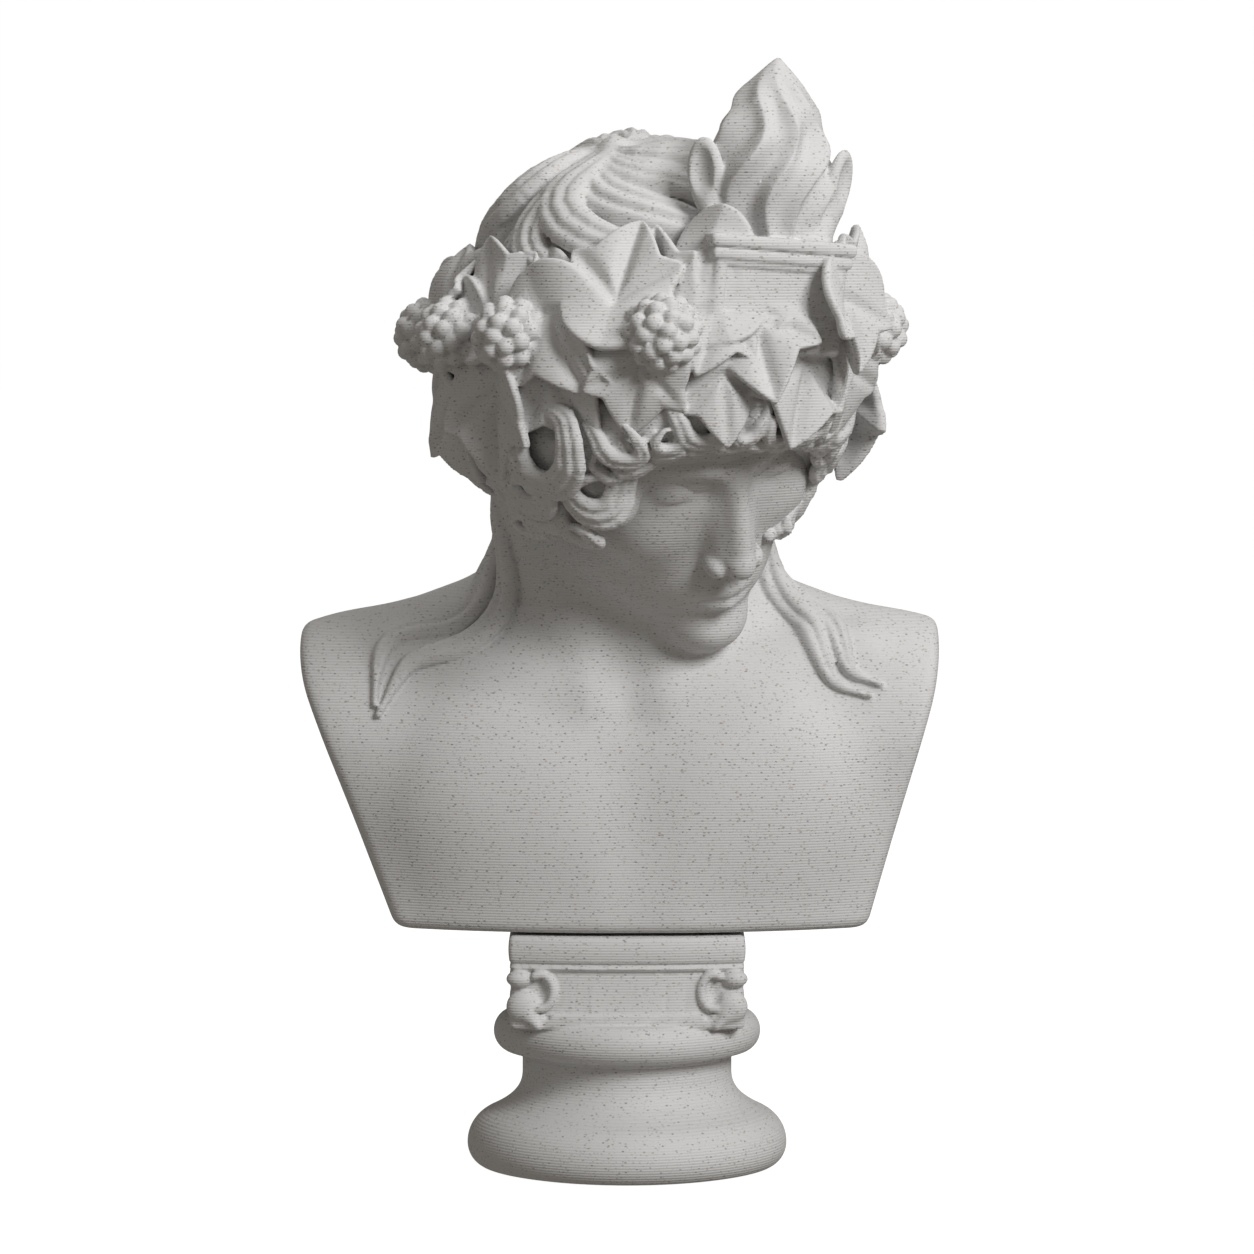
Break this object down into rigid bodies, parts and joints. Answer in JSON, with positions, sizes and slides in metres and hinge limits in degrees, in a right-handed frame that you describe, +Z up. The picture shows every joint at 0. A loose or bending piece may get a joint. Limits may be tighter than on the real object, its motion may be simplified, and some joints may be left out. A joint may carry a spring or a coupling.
{
  "type": "classical bust",
  "caption": "Small 3D-printed classical bust: a bowed head with an ivy and berry wreath and a bud finial, on cut shoulders and a turned socle, for display.",
  "frame": {"origin": "middle of the socle's flat round underside", "axes": "+Z up through the socle, -Y the way the chest faces, +X to the viewer's right"},
  "size_m": [0.0697, 0.0651, 0.1195],
  "materials": {
    "bust": "matt marble-effect print filament, pale grey with short dark and brown flecks, fine level layer lines",
    "socle": "matt marble-effect print filament, pale grey with short dark and brown flecks, fine level layer lines"
  },
  "bodies": {
    "root": {"bust": "bust", "socle": "socle"}
  },
  "joints": []
}
